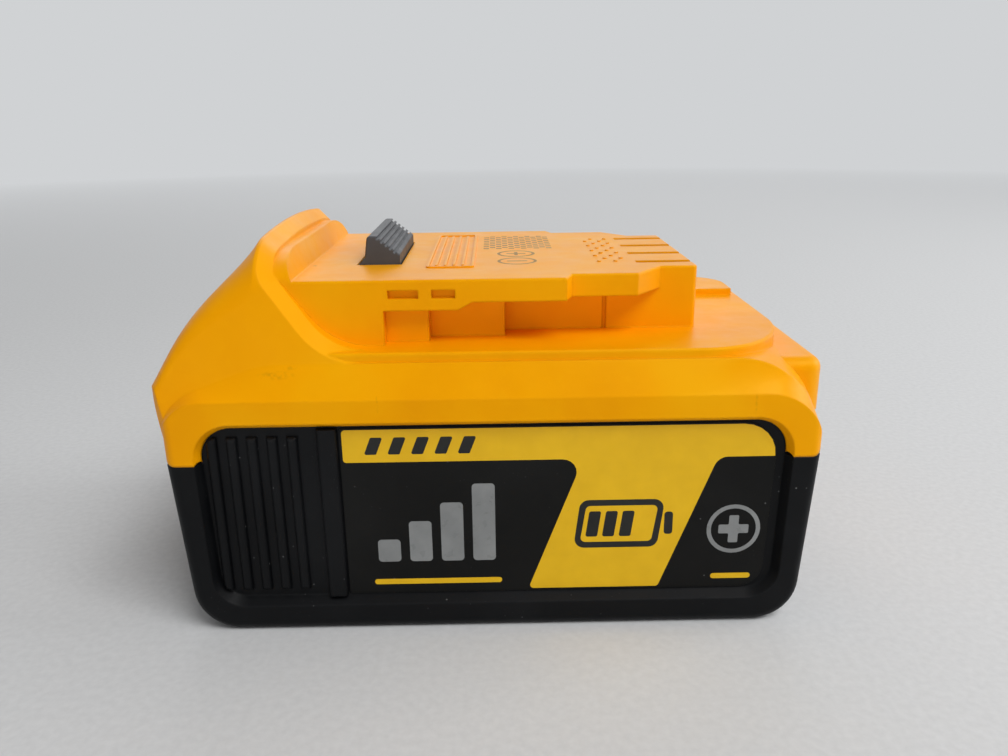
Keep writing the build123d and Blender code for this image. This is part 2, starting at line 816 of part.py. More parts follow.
# Upper case: cover with shoulder, ledge, neck, rails, deck and hump
with BuildPart() as upper_case:
    add(cover_outside)
    with BuildSketch(Plane.XY.offset(parting_height)):
        RectangleRounded(case_length, case_width, base_edge_radius)
    extrude(amount=shoulder_height - parting_height, mode=Mode.INTERSECT)
    add(bumper_solid)
    add(ledge_block.part)
    with BuildSketch(Plane.XY.offset(crease_height)) as pad_plan:
        with Locations((deck_end - deck_wall, pad_near)):
            Rectangle(pad_end - deck_end + deck_wall, pad_far - pad_near, align=(Align.MIN, Align.MIN))
        fillet(pad_plan.vertices().sort_by(Axis.Y)[-2:].sort_by(Axis.X)[-1], radius=pad_corner_radius)
    extrude(amount=ledge_height + pad_rise - crease_height)
    with BuildSketch(Plane.XY.offset(crease_height)):
        add(neck_plan(-deck_start, 0))
    extrude(amount=rail_underside - crease_height)
    add(rail_block.part)
    with BuildSketch(Plane.XZ):
        pad_corners = (
            (-deck_start, rail_underside),
            (-deck_start, rail_pad_underside),
            (-rail_pad_end, rail_pad_underside),
            (-rail_pad_end + rail_pad_ramp, rail_underside),
        )
        add(outline(*pad_corners))
    extrude(amount=rail_half_width, both=True)
    add(hump.part)
    add(boss_solid)

    # Hollow inside
    add(cover_inside, mode=Mode.SUBTRACT)
    add(hump_inside, mode=Mode.SUBTRACT)
    with BuildSketch(Plane.XY.offset(crease_height)):
        add(neck_plan(-hump_crest_x, case_wall))
    extrude(amount=deck_ceiling - crease_height, mode=Mode.SUBTRACT)
    with BuildSketch(Plane.XZ) as relief:
        low = parting_height - cut_overrun
        with Locations((0, low)):
            high = panel_high + running_gap
            Rectangle(2 * (panel_end + running_gap), high - low, align=(Align.CENTER, Align.MIN))
        fillet(relief.vertices().group_by(Axis.Y)[-1], radius=panel_corner_radius)
    extrude(amount=panel_y + fit_gap, both=True, mode=Mode.SUBTRACT)
    add(window, mode=Mode.SUBTRACT)

    # Openings of the deck, the release end and the terminal end
    with BuildSketch(Plane.XY.offset(deck_ceiling - cut_overrun)):
        with Locations(((-tooth_start - tooth_end) / 2, 0)):
            Rectangle(tooth_start - tooth_end + 2 * running_gap, 2 * (tooth_half_width + running_gap))
    extrude(amount=deck_wall + 2 * cut_overrun, mode=Mode.SUBTRACT)
    with BuildSketch(Plane.XY.offset(slot_floor_height)):
        with Locations(*[(deck_end - slot_length, y) for y in slot_places]):
            Rectangle(slot_length + cut_overrun, slot_width, align=(Align.MIN, Align.CENTER))
    extrude(amount=deck_height - slot_floor_height + cut_overrun, mode=Mode.SUBTRACT)
    with BuildSketch(Plane.YZ.offset(-opening_depth_x)):
        with Locations((0, (opening_bottom + opening_top) / 2)):
            Rectangle(2 * (button_half_width + running_gap), opening_top - opening_bottom)
    extrude(amount=opening_depth_x - overall_half - cut_overrun, mode=Mode.SUBTRACT)
    with BuildSketch(Plane.YZ.offset(-end_wall_x + bezel_flange)):
        with Locations((0, gauge_height)):
            RectangleRounded(2 * gauge_half_width, 2 * gauge_half_height, gauge_corner_radius)
    extrude(amount=-cut_overrun, mode=Mode.SUBTRACT)
    for side in (-1, 1):
        with BuildSketch(Plane.XZ.offset(-side * rail_half_width)):
            for start, end in zip(rail_window_starts, rail_window_ends):
                with Locations((-(start + end) / 2, deck_height - rail_window_drop - rail_window_height / 2)):
                    Rectangle(start - end, rail_window_height)
        extrude(amount=side * rail_window_depth, mode=Mode.SUBTRACT)
        with BuildSketch(Plane.XZ.offset(-side * rail_end_half_width)):
            with Locations((neck_groove_x, (ledge_height + rail_underside) / 2)):
                Rectangle(neck_groove_width, rail_underside - ledge_height)
        extrude(amount=side * neck_groove_depth, mode=Mode.SUBTRACT)

    # Screw bosses, each tied to the end wall by a rib
    with BuildSketch(Plane.XY.offset(parting_height)):
        with Locations(*screw_places):
            Circle(screw_boss_radius)
    extrude(amount=screw_boss_top - parting_height)
    with BuildSketch(Plane.XY.offset(parting_height)):
        rib_length = end_wall_x + fit_gap - screw_x
        for side in (-1, 1):
            with Locations(*[(side * (screw_x + rib_length / 2), y) for y in (-screw_y, screw_y)]):
                Rectangle(rib_length, screw_rib_width)
    extrude(amount=screw_rib_top - parting_height)
    with BuildSketch(Plane.XY.offset(parting_height)):
        with Locations(*screw_places):
            Circle(screw_shank_radius + screw_hole_gap)
    tip_height = screw_seat_height + screw_length + screw_tip_gap
    extrude(amount=tip_height - parting_height, mode=Mode.SUBTRACT)

# Lower case: drafted tub with a recessed panel on both sides, grip ribs and the bar beside the label
with BuildPart() as side_grips:
    with BuildSketch(Plane.XZ.offset(panel_y - bar_depth)):
        with Locations(*[(i * rib_pitch - rib_first_x, (rib_low + rib_high) / 2) for i in range(rib_count)]):
            Rectangle(rib_width, rib_high - rib_low)
    extrude(amount=bar_depth + rib_depth)
    with BuildSketch(Plane.XZ.offset(panel_y - bar_depth)):
        with Locations(((-bar_left - bar_right) / 2, (recess_bottom + recess_top) / 2)):
            Rectangle(bar_left - bar_right, recess_top - recess_bottom)
    extrude(amount=2 * bar_depth)
    ribs = side_grips.faces().filter_by(Axis.Y).filter_by(lambda f: f.center().Y < -panel_y)
    fillet([e for f in ribs for e in f.edges()], radius=rib_edge_radius)
    with BuildSketch(Plane.XZ.offset(panel_y - bar_depth)):
        add(recess_floor(fit_gap))
    extrude(amount=2 * bar_depth, mode=Mode.INTERSECT)
    mirror(about=Plane.XZ)

with BuildPart() as screw_posts:
    with BuildSketch(Plane.XY):
        with Locations(*screw_places):
            Circle(screw_boss_radius)
    extrude(amount=parting_height)
    with BuildSketch(Plane.XZ):
        add(tub_profile(case_wall / 2))
    extrude(amount=half_width, both=True, mode=Mode.INTERSECT)

with BuildPart() as lower_case:
    with BuildSketch(Plane.XZ):
        add(tub_profile(0))
    extrude(amount=half_width, both=True)
    rim = lower_case.edges().filter_by(
        lambda e: abs(abs(e.center().Y) - half_width) < fit_gap and e.center().Z < parting_height - fit_gap
    )
    fillet(rim, radius=base_edge_radius)
    with BuildSketch(Plane.XZ):
        add(tub_profile(case_wall))
    extrude(amount=panel_inner_y, both=True, mode=Mode.SUBTRACT)
    with BuildSketch(Plane.XZ.offset(panel_inner_y)) as plate_face:
        with Locations((0, parting_height - panel_lap)):
            Rectangle(2 * panel_end, panel_high - parting_height + panel_lap, align=(Align.CENTER, Align.MIN))
        fillet(plate_face.vertices().group_by(Axis.Y)[-1], radius=panel_corner_radius)
    extrude(amount=panel_wall)
    with BuildSketch(Plane.XZ.offset(-panel_inner_y)):
        add(plate_face.sketch)
    extrude(amount=-panel_wall)
    add(window, mode=Mode.SUBTRACT)
    add(side_grips.part)
    add(screw_posts.part)
    with BuildSketch(Plane.XY):
        with Locations(*screw_places):
            Circle(screw_recess_radius)
    extrude(amount=screw_seat_height, mode=Mode.SUBTRACT)
    with BuildSketch(Plane.XY):
        with Locations(*screw_places):
            Circle(screw_shank_radius + screw_hole_gap)
    extrude(amount=parting_height + cut_overrun, mode=Mode.SUBTRACT)

# Case screws, driven in from below
with BuildPart() as case_screws:
    with BuildSketch(Plane.XY.offset(screw_seat_height)):
        with Locations(*screw_places):
            Circle(screw_head_radius)
    extrude(amount=-screw_head_height)
    with BuildSketch(Plane.XY.offset(screw_seat_height)):
        with Locations(*screw_places):
            Circle(screw_shank_radius)
    extrude(amount=screw_length)
    with BuildSketch(Plane.XY.offset(screw_seat_height - screw_head_height)):
        with Locations(*screw_places):
            RegularPolygon(screw_drive_radius, 6)
    extrude(amount=screw_drive_depth, mode=Mode.SUBTRACT)

# Label in the near recess, beside the bar
with BuildPart() as side_label:
    with BuildSketch(Plane.XZ.offset(panel_y)) as label_face:
        label_low = recess_bottom + recess_rim_bevel + label_margin
        label_high = recess_top - recess_rim_bevel - label_margin
        label_end = recess_half_length - recess_end_bevel - label_end_margin
        label_start = -bar_right + label_margin
        label_foot = label_end - (label_high - label_low) * draft / 2
        label_corners = (
            (label_start, label_low),
            (label_foot, label_low),
            (label_end, label_high),
            (label_start, label_high),
        )
        add(outline(*label_corners))
        fillet(label_face.vertices().group_by(Axis.X)[0], radius=label_left_radius)
        fillet(label_face.vertices().group_by(Axis.X)[-1], radius=label_high_radius)
        fillet(label_face.vertices().group_by(Axis.Y)[0].sort_by(Axis.X)[-1], radius=label_low_radius)
    extrude(amount=label_wall)

# Release latch: tooth on the deck, plate under it, wings over the springs, arm and button in one moulding
with BuildPart() as release_latch:
    with BuildSketch(Plane.XY.offset(plate_low)):
        with Locations((-tooth_start / 2 - latch_plate_end / 2, 0)):
            Rectangle(latch_wing_start - latch_plate_end, 2 * latch_plate_half_width)
    extrude(amount=latch_plate_thickness)
    with BuildSketch(Plane.XY.offset(plate_low)):
        with Locations((-(latch_wing_start + latch_wing_end) / 2, 0)):
            Rectangle(latch_wing_start - latch_wing_end, 2 * latch_wing_half_width)
        with Locations((-(latch_arm_start + latch_wing_end) / 2, 0)):
            Rectangle(latch_arm_start - latch_wing_end, 2 * latch_arm_half_width)
    extrude(amount=latch_plate_thickness)
    with BuildSketch(Plane.XZ) as tooth_side:
        tooth_top = deck_height + tooth_rise
        tooth_toe = deck_height + tooth_toe_rise
        tooth_corners = (
            (-tooth_start, plate_low),
            (-tooth_start, deck_height),
            (-tooth_back, deck_height + tooth_foot_rise),
            (-tooth_apex_start, tooth_top),
            (-tooth_apex_end, tooth_top),
            (-tooth_end, tooth_toe),
            (-tooth_end, plate_low),
        )
        add(outline(*tooth_corners))
        fillet(tooth_side.vertices().group_by(Axis.Y)[-1], radius=tooth_apex_radius)
    extrude(amount=tooth_half_width, both=True)
    tooth_ends = release_latch.faces().filter_by(Axis.Y).filter_by(lambda f: f.center().Z > plate_high)
    tooth_rims = [e for f in tooth_ends for e in f.edges() if e.center().Z > deck_height + tooth_toe_rise / 2]
    fillet(tooth_rims, radius=tooth_edge_radius)
    tooth_slope = Plane(
        origin=(-tooth_apex_end, 0, tooth_top),
        x_dir=(tooth_apex_end - tooth_end, 0, tooth_toe - tooth_top),
        z_dir=(tooth_top - tooth_toe, 0, tooth_apex_end - tooth_end),
    )
    with BuildSketch(tooth_slope):
        groove_places = [(tooth_groove_start + i * tooth_groove_pitch, 0) for i in range(tooth_groove_count)]
        with Locations(*groove_places):
            Rectangle(tooth_groove_width, 2 * tooth_half_width + cut_overrun)
    extrude(amount=-tooth_groove_depth, mode=Mode.SUBTRACT)
    with BuildSketch(Plane.XZ):
        button_corners = (
            (-button_bottom_x, button_bottom),
            (-button_knee_x, button_knee_height),
            (-button_top_x, button_top),
            (-button_top_x + button_thickness, button_top),
            (-button_knee_x + button_thickness, button_knee_height - button_thickness),
            (-button_bottom_x + button_thickness, button_bottom),
        )
        add(outline(*button_corners))
        with Locations((-skirt_x, skirt_bottom)):
            Rectangle(skirt_wall, button_bottom + skirt_wall - skirt_bottom, align=(Align.MIN, Align.MIN))
    extrude(amount=button_half_width, both=True)
    button_slope = Plane(
        origin=(-button_bottom_x, 0, button_bottom),
        x_dir=(button_bottom_x - button_knee_x, 0, button_knee_height - button_bottom),
        z_dir=(button_bottom - button_knee_height, 0, button_bottom_x - button_knee_x),
    )
    with BuildSketch(button_slope):
        ridge_places = [(button_ridge_start + i * button_ridge_pitch, 0) for i in range(button_groove_count)]
        with Locations(*ridge_places):
            Rectangle(button_groove_width, 2 * button_half_width + cut_overrun)
    extrude(amount=-button_groove_depth, mode=Mode.SUBTRACT)
    with BuildSketch(Plane.XY.offset(plate_low)):
        with Locations((-spring_x, spring_y), (-spring_x, -spring_y)):
            Circle(spring_pocket_radius)
    extrude(amount=spring_pocket_depth, mode=Mode.SUBTRACT)


def latch_spring(y):
    """Coil spring between its seat on the carrier and its pocket in the latch."""
    height = plate_low + spring_pocket_depth - spring_seat_height - 2 * spring_wire_radius
    start = (-spring_x, y, spring_seat_height + spring_wire_radius)
    with BuildPart() as spring:
        with BuildLine() as coil:
            Helix(pitch=height / spring_turns, height=height, radius=spring_radius, center=start)
        with BuildSketch(Plane(origin=coil.line @ 0, z_dir=coil.line % 0)):
            RegularPolygon(spring_wire_radius, 6)
        sweep(is_frenet=True)
    return spring.part


with BuildPart() as latch_spring_near:
    add(latch_spring(-spring_y))

with BuildPart() as latch_spring_far:
    add(latch_spring(spring_y))

# Charge gauge in the end wall
with BuildPart() as gauge_bezel:
    with BuildSketch(Plane.YZ.offset(-end_wall_x)):
        with Locations((0, gauge_height)):
            RectangleRounded(
                2 * (gauge_half_width - lens_gap), 2 * (gauge_half_height - lens_gap), gauge_corner_radius
            )
    extrude(amount=bezel_recess - case_wall)
    with BuildSketch(Plane.YZ.offset(-end_wall_x)):
        with Locations((0, gauge_height)):
            RectangleRounded(
                2 * (gauge_half_width + bezel_lap), 2 * (gauge_half_height + bezel_lap), gauge_corner_radius
            )
    extrude(amount=bezel_flange)
    with BuildSketch(Plane.YZ.offset(-bezel_back_x)):
        with Locations((bezel_leg_y, gauge_height), (-bezel_leg_y, gauge_height)):
            Rectangle(bezel_leg_size, bezel_leg_size)
    extrude(amount=gauge_board_gap)
    with BuildSketch(Plane.YZ.offset(-bezel_back_x)):
        with Locations((gauge_button_y, gauge_height)):
            RectangleRounded(
                2 * (gauge_button_half_width + running_gap),
                2 * (gauge_button_half_height + running_gap),
                gauge_button_radius,
            )
        with Locations(*[(y, gauge_height) for y in lens_places]):
            Rectangle(lens_length + 2 * lens_gap, lens_height + 2 * lens_gap)
    extrude(amount=-bezel_flange - case_wall, mode=Mode.SUBTRACT)

with BuildPart() as gauge_button:
    with BuildSketch(Plane.YZ.offset(-bezel_back_x)):
        with Locations((gauge_button_y, gauge_height)):
            RectangleRounded(2 * gauge_button_half_width, 2 * gauge_button_half_height, gauge_button_radius)
    extrude(amount=bezel_recess - case_wall - bezel_flange - gauge_button_proud)
    fillet(gauge_button.faces().sort_by(Axis.X)[0].edges(), radius=gauge_button_edge_radius)
    with BuildSketch(Plane.YZ.offset(-bezel_back_x)):
        with Locations((gauge_button_y, gauge_height)):
            RectangleRounded(
                2 * (gauge_button_half_width + gauge_button_lap),
                2 * (gauge_button_half_height + gauge_button_lap),
                gauge_button_radius,
            )
    extrude(amount=gauge_button_flange)

with BuildPart() as gauge_light_pipe:
    with BuildSketch(Plane.YZ.offset(-bezel_back_x)):
        with Locations(*[(y, gauge_height) for y in lens_places]):
            Rectangle(lens_length, lens_height)
    extrude(amount=bezel_recess - case_wall - bezel_flange)
    with BuildSketch(Plane.YZ.offset(-bezel_back_x)):
        with Locations(((lens_places[0] + lens_places[-1]) / 2, gauge_height)):
            strip_length = lens_places[0] - lens_places[-1] + lens_length + 2 * light_pipe_lap
            Rectangle(strip_length, lens_height + 2 * light_pipe_lap)
    extrude(amount=light_pipe_strip)

with BuildPart() as gauge_board:
    with BuildSketch(Plane.YZ.offset(-gauge_board_x)):
        with Locations((0, gauge_height)):
            Rectangle(2 * gauge_board_half_width, 2 * gauge_board_half_height)
    extrude(amount=gauge_board_wall)

with BuildPart() as gauge_switch:
    with BuildSketch(Plane.YZ.offset(-gauge_board_x)):
        with Locations((gauge_button_y, gauge_height)):
            Rectangle(switch_size, switch_size)
    extrude(amount=-switch_body_height)
    with BuildSketch(Plane.YZ.offset(-gauge_board_x)):
        with Locations((gauge_button_y, gauge_height)):
            Circle(switch_stem_radius)
    extrude(amount=-switch_height)


def gauge_led(y):
    """Surface-mounted light behind one lens."""
    with BuildPart() as led:
        with BuildSketch(Plane.YZ.offset(-gauge_board_x)):
            with Locations((y, gauge_height)):
                Rectangle(led_size, led_size)
        extrude(amount=-led_height)
    return led.part


gauge_leds = [gauge_led(y) for y in lens_places]

# Cells: steel can, rolled edges, and a raised cap at the positive end
def cell(x, z, side):
    """Cell lying across the pack, with its cap towards the near side (-1) or the far side (1)."""
    can_length = cell_length - cell_cap_height
    with BuildPart() as body:
        with BuildSketch(Plane.XZ.offset(side * cell_end_y)):
            with Locations((x, z)):
                Circle(cell_radius)
        extrude(amount=-side * can_length)
        chamfer(body.edges().filter_by(GeomType.CIRCLE), length=cell_edge_chamfer)
        with BuildSketch(Plane.XZ.offset(-side * (cell_end_y - cell_cap_height - cell_edge_chamfer))):
            with Locations((x, z)):
                Circle(cell_cap_radius)
        extrude(amount=-side * (cell_cap_height + cell_edge_chamfer))
    return body.part


cells = [cell(x, z, (-1) ** i) for i, x in enumerate(column_places) for z in row_heights]


def strap_plan(first, last, gap):
    """Strap seen from the side: a plate over whole columns of cells."""
    reach = strap_width + 2 * gap
    with BuildSketch() as plan:
        middle = (column_places[first] + column_places[last]) / 2
        with Locations((middle, (cell_low_height + cell_high_height) / 2)):
            length = column_places[last] - column_places[first] + reach
            RectangleRounded(length, cell_pitch + reach, strap_corner_radius)
    return plan.sketch


def strap(first, last, side):
    """Nickel strap against the ends of the cells of one or two columns."""
    with BuildPart() as plate:
        with BuildSketch(Plane.XZ.offset(-side * cell_end_y)):
            add(strap_plan(first, last, 0))
            with Locations(*[(column_places[i], z) for i in range(first, last + 1) for z in row_heights]):
                Rectangle(strap_slit_width, strap_slit_length, mode=Mode.SUBTRACT)
        extrude(amount=-side * strap_wall)
    return plate.part


near_columns = ((0, 0), (1, 2), (3, 4))
far_columns = ((0, 1), (2, 3), (4, 4))
near_straps = [strap(first, last, -1) for first, last in near_columns]
far_straps = [strap(first, last, 1) for first, last in far_columns]


def carrier(side, columns, tab_column):
    """Cell carrier: a block with a bore for each cell, windows for the straps and posts on top."""
    tab_height = carrier_high - cell_high_height
    post_places = [(x, side * (board_half_width - board_post_inset)) for x in board_post_x]
    with BuildPart() as block:
        with BuildSketch(Plane.XZ.offset(-side * carrier_end_y)) as face:
            with Locations((0, (carrier_low + carrier_high) / 2)):
                Rectangle(2 * carrier_half_length, carrier_high - carrier_low)
            fillet(face.vertices(), radius=carrier_corner_radius)
        extrude(amount=side * carrier_depth)
        with BuildSketch(Plane.XZ.offset(-side * cell_end_y)):
            with Locations(*[(x, z) for x in column_places for z in row_heights]):
                Circle(bore_radius)
        extrude(amount=side * carrier_depth, mode=Mode.SUBTRACT)
        with BuildSketch(Plane.XZ.offset(-side * cell_end_y)):
            with Locations(*[(x, z) for x in column_places for z in row_heights]):
                Circle(carrier_window_radius)
            for first, last in columns:
                add(strap_plan(first, last, fit_gap))
            with Locations((column_places[tab_column], cell_high_height)):
                Rectangle(busbar_width + 2 * fit_gap, tab_height, align=(Align.CENTER, Align.MIN))
        extrude(amount=-side * carrier_lip, mode=Mode.SUBTRACT)
        spring_place = (-spring_x, side * spring_y)
        pin_top = spring_seat_height + spring_pin_height
        add(disc(spring_seat_radius, carrier_high - carrier_wall, spring_seat_height, *spring_place))
        add(disc(spring_pin_radius, spring_seat_height, pin_top, *spring_place))
        for x, y in post_places:
            add(disc(board_post_radius, carrier_high - carrier_wall, board_low, x, y))
            add(disc(board_pin_radius, board_low, board_high + board_pin_rise, x, y))
    return block.part


with BuildPart() as carrier_near:
    add(carrier(-1, near_columns, 0))

with BuildPart() as carrier_far:
    add(carrier(1, far_columns, -1))


def insulator(side):
    """Insulating sheet over the straps, flat on the carrier."""
    with BuildPart() as sheet:
        with BuildSketch(Plane.XZ.offset(-side * carrier_end_y)) as face:
            with Locations((0, (carrier_low + carrier_high) / 2)):
                height = carrier_high - carrier_low - 2 * insulator_margin
                RectangleRounded(2 * (carrier_half_length - insulator_margin), height, carrier_corner_radius)
        extrude(amount=-side * insulator_wall)
    return sheet.part


with BuildPart() as insulator_near:
    add(insulator(-1))

with BuildPart() as insulator_far:
    add(insulator(1))


def foam_strip(side):
    """Foam strip between the floor and one carrier."""
    with BuildPart() as strip:
        with BuildSketch(Plane.XY.offset(case_wall)):
            with Locations((0, side * foam_y)):
                Rectangle(2 * foam_half_length, foam_width)
        extrude(amount=foam_wall)
    return strip.part


with BuildPart() as foam_near:
    add(foam_strip(-1))

with BuildPart() as foam_far:
    add(foam_strip(1))

# Main board on the carriers' posts, with its chips
with BuildPart() as main_board:
    with BuildSketch(Plane.XY.offset(board_low)):
        with Locations(((board_end - board_start) / 2, 0)):
            RectangleRounded(board_end + board_start, 2 * board_half_width, board_corner_radius)
        with Locations(*[(x, y) for x in board_post_x for y in board_post_y]):
            Circle(board_pin_radius + board_pin_gap, mode=Mode.SUBTRACT)
    extrude(amount=board_wall)

with BuildPart() as main_chip:
    with BuildSketch(Plane.XY.offset(board_high)):
        with Locations((chip_x, 0)):
            Rectangle(chip_size, chip_size)
    extrude(amount=chip_height)


def transistor(side):
    """Power transistor on the main board."""
    with BuildPart() as block:
        with BuildSketch(Plane.XY.offset(board_high)):
            with Locations((transistor_x, side * transistor_y)):
                Rectangle(transistor_length, transistor_width)
        extrude(amount=transistor_height)
    return block.part


with BuildPart() as transistor_near:
    add(transistor(-1))

with BuildPart() as transistor_far:
    add(transistor(1))

# Thermistor bead in the valley between two cells of the upper row
with BuildPart() as thermistor:
    with BuildSketch(Plane.XZ.offset(-thermistor_length / 2)):
        with Locations((thermistor_x, thermistor_z)):
            Circle(thermistor_radius)
    extrude(amount=thermistor_length)

# Terminal block under the slots, with a pocket for each contact
with BuildPart() as terminal_block:
    with BuildSketch(Plane.XY.offset(board_high)):
        with Locations((block_front_x, 0)):
            Rectangle(block_length, 2 * block_half_width, align=(Align.MAX, Align.CENTER))
    extrude(amount=deck_ceiling - running_gap - board_high)
    with BuildSketch(Plane.XY.offset(block_slit_floor)):
        with Locations(*[(block_front_x + cut_overrun, y) for y in slot_places]):
            slit_length = block_front_x + cut_overrun - deck_end + slot_length
            Rectangle(slit_length, block_slit_width, align=(Align.MAX, Align.CENTER))
    extrude(amount=deck_height - block_slit_floor, mode=Mode.SUBTRACT)
    with BuildSketch(Plane.XY.offset(board_high)):
        with Locations(*[(contact_x, y) for y in slot_places]):
            Rectangle(block_pocket_length, block_pocket_width)
    extrude(amount=block_pocket_roof - board_high, mode=Mode.SUBTRACT)


def contact(y):
    """Contact folded from one strip: a foot on the board and two legs that pinch the blade."""
    out = contact_width / 2
    inner = contact_pinch / 2 + contact_wall
    flare = contact_pinch / 2 + contact_flare
    half = (
        (out, board_high),
        (out, contact_elbow_height),
        (inner, contact_pinch_height),
        (flare, contact_top),
        (flare - contact_wall, contact_top),
        (contact_pinch / 2, contact_pinch_height),
        (out - contact_wall, contact_elbow_height),
        (out - contact_wall, board_high + contact_wall),
    )
    points = [(y + a, b) for a, b in half] + [(y - a, b) for a, b in reversed(half)]
    with BuildPart() as blade:
        with BuildSketch(Plane.YZ.offset(contact_x - contact_length / 2)):
            add(outline(*points))
        extrude(amount=contact_length)
    return blade.part


contacts = [contact(y) for y in slot_places]


def busbar(side, column, board_x):
    """Busbar from a single strap over the carrier's top and up onto the edge of the main board."""
    strap_x = column_places[column]
    strap_y = cell_end_y + strap_wall
    out_y = strap_y + busbar_wall
    strap_top = cell_high_height + strap_width / 2
    riser_y = board_half_width + busbar_gap
    half = busbar_width / 2
    lid = carrier_high + busbar_wall
    riser_out = riser_y + busbar_wall
    riser_top = board_high + busbar_wall
    left = min(strap_x, board_x) - half
    right = max(strap_x, board_x) + half
    with BuildPart() as bar:
        add(slab((strap_x - half, strap_y, strap_top - busbar_lap), (strap_x + half, out_y, lid)))
        add(slab((left, out_y - busbar_width, carrier_high), (right, out_y, lid)))
        add(slab((board_x - half, riser_y, carrier_high), (board_x + half, out_y, lid)))
        add(slab((board_x - half, riser_y, carrier_high), (board_x + half, riser_out, riser_top)))
        add(slab((board_x - half, riser_out - busbar_foot, board_high), (board_x + half, riser_out, riser_top)))
        if side < 0:
            mirror(about=Plane.XZ, mode=Mode.REPLACE)
    return bar.part


with BuildPart() as positive_busbar:
    add(busbar(-1, 0, busbar_near_x))

with BuildPart() as negative_busbar:
    add(busbar(1, cell_columns - 1, column_places[-1]))

pieces = {
    "lower_case": lower_case.part,
    "upper_case": upper_case.part,
    "side_label": side_label.part,
    "release_latch": release_latch.part,
    "latch_spring_near": latch_spring_near.part,
    "latch_spring_far": latch_spring_far.part,
    "gauge_bezel": gauge_bezel.part,
    "gauge_button": gauge_button.part,
    "gauge_light_pipe": gauge_light_pipe.part,
    "gauge_board": gauge_board.part,
    "gauge_switch": gauge_switch.part,
    "carrier_near": carrier_near.part,
    "carrier_far": carrier_far.part,
    "insulator_near": insulator_near.part,
    "insulator_far": insulator_far.part,
    "foam_near": foam_near.part,
    "foam_far": foam_far.part,
    "main_board": main_board.part,
    "main_chip": main_chip.part,
    "transistor_near": transistor_near.part,
    "transistor_far": transistor_far.part,
    "thermistor": thermistor.part,
    "terminal_block": terminal_block.part,
    "positive_busbar": positive_busbar.part,
    "negative_busbar": negative_busbar.part,
    "case_screws": case_screws.part,
}
pieces |= {f"gauge_led_{i + 1}": led for i, led in enumerate(gauge_leds)}
pieces |= {f"cell_{i + 1:02d}": body for i, body in enumerate(cells)}
pieces |= {f"strap_near_{i + 1}": plate for i, plate in enumerate(near_straps)}
pieces |= {f"strap_far_{i + 1}": plate for i, plate in enumerate(far_straps)}
pieces |= {f"contact_{i + 1}": blade for i, blade in enumerate(contacts)}

for name, piece in pieces.items():
    piece.label = name
    export_step(piece, f"parts/{name}.step")
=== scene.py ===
import json
import math

import bmesh
import bpy
from mathutils import Matrix, Vector


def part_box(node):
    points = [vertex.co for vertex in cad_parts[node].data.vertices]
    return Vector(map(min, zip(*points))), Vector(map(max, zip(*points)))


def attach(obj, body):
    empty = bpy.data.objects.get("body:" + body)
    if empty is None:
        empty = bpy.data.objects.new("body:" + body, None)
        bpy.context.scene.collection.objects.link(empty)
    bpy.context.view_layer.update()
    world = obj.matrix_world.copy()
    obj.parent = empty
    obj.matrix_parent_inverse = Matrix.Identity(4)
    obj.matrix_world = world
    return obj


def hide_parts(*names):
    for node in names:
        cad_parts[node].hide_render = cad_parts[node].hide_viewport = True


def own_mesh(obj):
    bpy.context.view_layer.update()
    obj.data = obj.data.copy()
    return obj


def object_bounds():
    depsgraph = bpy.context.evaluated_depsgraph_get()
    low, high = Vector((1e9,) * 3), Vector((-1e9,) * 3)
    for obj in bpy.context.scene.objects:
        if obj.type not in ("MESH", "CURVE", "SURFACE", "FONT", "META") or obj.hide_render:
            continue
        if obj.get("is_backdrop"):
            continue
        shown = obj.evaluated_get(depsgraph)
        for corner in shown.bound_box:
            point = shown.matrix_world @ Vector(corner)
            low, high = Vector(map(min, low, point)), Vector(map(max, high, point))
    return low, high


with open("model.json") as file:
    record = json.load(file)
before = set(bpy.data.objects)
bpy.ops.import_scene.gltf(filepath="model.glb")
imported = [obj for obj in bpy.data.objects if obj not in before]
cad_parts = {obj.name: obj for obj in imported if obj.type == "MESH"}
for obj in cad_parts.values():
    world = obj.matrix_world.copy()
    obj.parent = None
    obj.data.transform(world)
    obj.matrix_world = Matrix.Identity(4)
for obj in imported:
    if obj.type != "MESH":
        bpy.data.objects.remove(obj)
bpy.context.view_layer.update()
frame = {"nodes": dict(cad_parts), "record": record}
nodes = frame["nodes"]
scene = bpy.context.scene
scene.view_settings.view_transform = "Standard"

MM = 0.001


def srgb(r, g, b):
    """Colour given as 0 to 255, as the renderer's linear light."""
    out = []
    for c in (r, g, b):
        c /= 255
        out.append(c / 12.92 if c <= 0.04045 else ((c + 0.055) / 1.055) ** 2.4)
    return (*out, 1.0)


